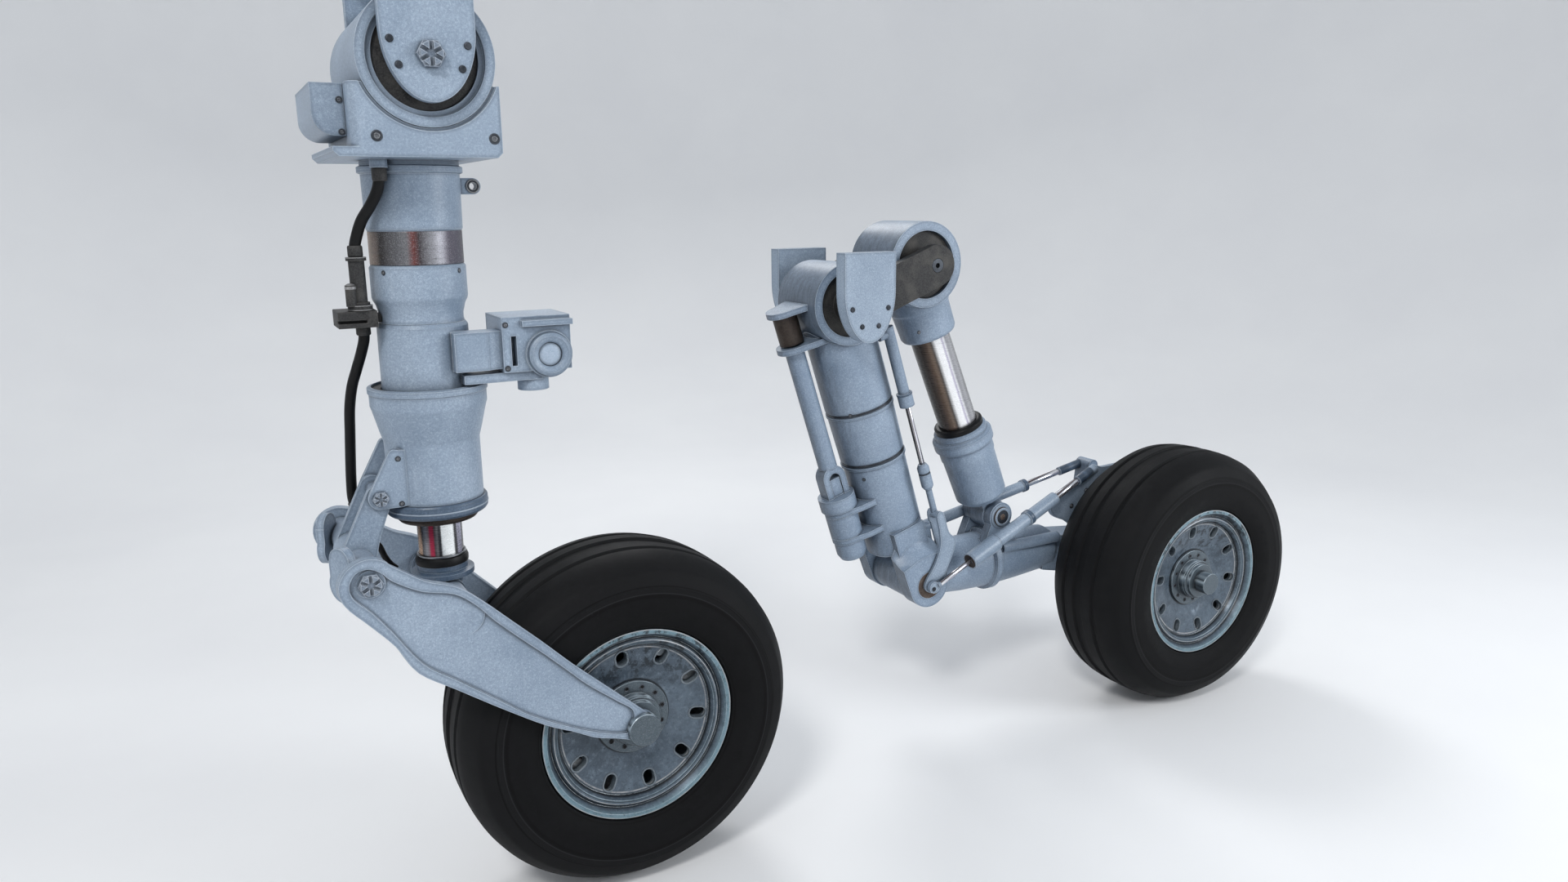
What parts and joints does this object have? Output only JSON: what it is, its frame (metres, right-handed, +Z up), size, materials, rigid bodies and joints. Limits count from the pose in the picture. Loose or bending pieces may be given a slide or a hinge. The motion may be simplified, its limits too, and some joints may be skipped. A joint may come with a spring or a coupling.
{
  "type": "aircraft landing gear",
  "caption": "Retractable landing gear set: a steerable nose gear with oleo strut and wheel fork, and a trailing-arm main gear with its own shock strut.",
  "frame": {"origin": "centre of the nose yoke's flat top face, in the middle of its four bolt holes", "axes": "+X aft, from the nose gear to the main gear; +Y across the aircraft, from the wheels towards the main leg; +Z up"},
  "size_m": [2.1443, 0.5074, 1.5289],
  "materials": {
    "paint": "satin",
    "dark_paint": "satin",
    "wheel_paint": "satin, worn",
    "tyre": "matt",
    "chrome": "polished",
    "dark_metal": "rough",
    "black_rubber": "satin",
    "lens": "clear",
    "steel": "brushed"
  },
  "bodies": {
    "airframe_brackets": {"yoke_near_plate": "paint", "yoke_far_plate": "paint", "yoke_bridge": "paint", "trunnion_pins": "steel", "bracket_bolts": "steel", "main_bracket_near": "paint", "main_bracket_far": "paint"},
    "nose_strut": {"nose_drum": "paint", "nose_drum_hub": "dark_metal", "nose_saddle": "paint", "nose_side_box": "paint", "nose_upper_tube": "paint", "nose_polished_band": "chrome", "nose_mid_collar": "paint", "nose_lower_tube": "paint", "taxi_light_box": "paint", "lamp_ring": "paint", "lamp_lens": "lens", "hose_fitting": "dark_metal", "valve_block": "dark_metal", "hose_upper": "black_rubber"},
    "nose_steering": {"steering_housing": "paint", "steering_ring": "dark_paint", "steering_seals": "black_rubber", "link_pin": "steel", "hose_lower": "black_rubber"},
    "nose_piston_rod": {"nose_piston": "chrome", "piston_base": "dark_paint"},
    "nose_drag_link": {"drag_link": "paint"},
    "nose_fork": {"fork_near_arm": "paint", "fork_far_arm": "paint", "fork_cross_shafts": "dark_paint", "tow_lugs": "paint", "nose_axle": "steel"},
    "nose_wheel": {"nose_tyre": "tyre", "nose_rim": "wheel_paint", "nose_hub": "chrome"},
    "main_leg": {"leg_drum": "paint", "leg_drum_hub": "dark_metal", "leg_tube": "paint", "leg_link_plates": "dark_metal", "leg_link_pin": "steel", "side_shaft": "paint", "side_shaft_bush": "dark_metal", "push_rod": "paint", "knuckle_plates": "paint"},
    "shock_upper": {"shock_drum": "paint", "shock_drum_hub": "dark_metal", "shock_piston": "chrome"},
    "shock_lower": {"shock_cylinder": "paint", "shock_seal": "black_rubber"},
    "main_arm": {"trailing_arm": "paint", "arm_pins": "steel", "main_axle": "steel", "axle_plate": "paint", "brake_unit": "dark_metal", "brake_rods": "paint"},
    "main_wheel": {"main_tyre": "tyre", "main_rim": "wheel_paint", "main_hub": "chrome"}
  },
  "joints": [
    {"name": "nose_retract", "type": "hinge", "parent": "airframe_brackets", "child": "nose_strut", "pos_m": [0, 0, -0.17], "axis": [0, 1, 0], "range_deg": [0, 80]},
    {"name": "nose_steer", "type": "hinge", "parent": "nose_strut", "child": "nose_steering", "pos_m": [-0.011, 0, -0.7], "axis": [0, 0, 1], "range_deg": [-45, 45]},
    {"name": "nose_stroke", "type": "slide", "parent": "nose_steering", "child": "nose_piston_rod", "axis": [0, 0, 1], "range_m": [0, 0.036], "stiffness_N_per_m": 15000},
    {"name": "nose_fork_swing", "type": "hinge", "parent": "nose_piston_rod", "child": "nose_fork", "pos_m": [-0.011, 0, -0.9624], "axis": [0, -1, 0], "range_deg": [0, 12.33]},
    {"name": "drag_link_rock", "type": "hinge", "parent": "nose_steering", "child": "nose_drag_link", "pos_m": [-0.101, 0, -0.7894], "axis": [0, -1, 0], "range_deg": [-9.37, 0]},
    {"name": "nose_wheel_spin", "type": "hinge", "parent": "nose_fork", "child": "nose_wheel", "pos_m": [0.273, 0, -1.23], "axis": [0, 1, 0], "continuous": true},
    {"name": "main_retract", "type": "hinge", "parent": "airframe_brackets", "child": "main_leg", "pos_m": [0.828, 0.19, -0.563], "axis": [0, -1, 0], "range_deg": [0, 73]},
    {"name": "shock_swing", "type": "hinge", "parent": "main_leg", "child": "shock_upper", "pos_m": [1.012, 0.19, -0.492], "axis": [0, -1, 0], "range_deg": [-0.924, 0]},
    {"name": "shock_stroke", "type": "slide", "parent": "shock_upper", "child": "shock_lower", "axis": [-0.3843, 0, 0.9232], "range_m": [0, 0.06185]},
    {"name": "arm_swing", "type": "hinge", "parent": "main_leg", "child": "main_arm", "pos_m": [1.021, 0.19, -1.18], "axis": [0, -1, 0], "range_deg": [0, 14], "stiffness_Nm_per_rad": 2000},
    {"name": "main_wheel_spin", "type": "hinge", "parent": "main_arm", "child": "main_wheel", "pos_m": [1.66, 0, -1.23], "axis": [0, 1, 0], "continuous": true}
  ],
  "couplings": [
    {"joint": "nose_fork_swing", "follows": "nose_stroke", "rad_per_m": 5.954},
    {"joint": "drag_link_rock", "follows": "nose_stroke", "rad_per_m": -4.516},
    {"joint": "shock_swing", "follows": "arm_swing", "ratio": -0.0646},
    {"joint": "shock_stroke", "follows": "arm_swing", "m_per_rad": 0.2527}
  ]
}
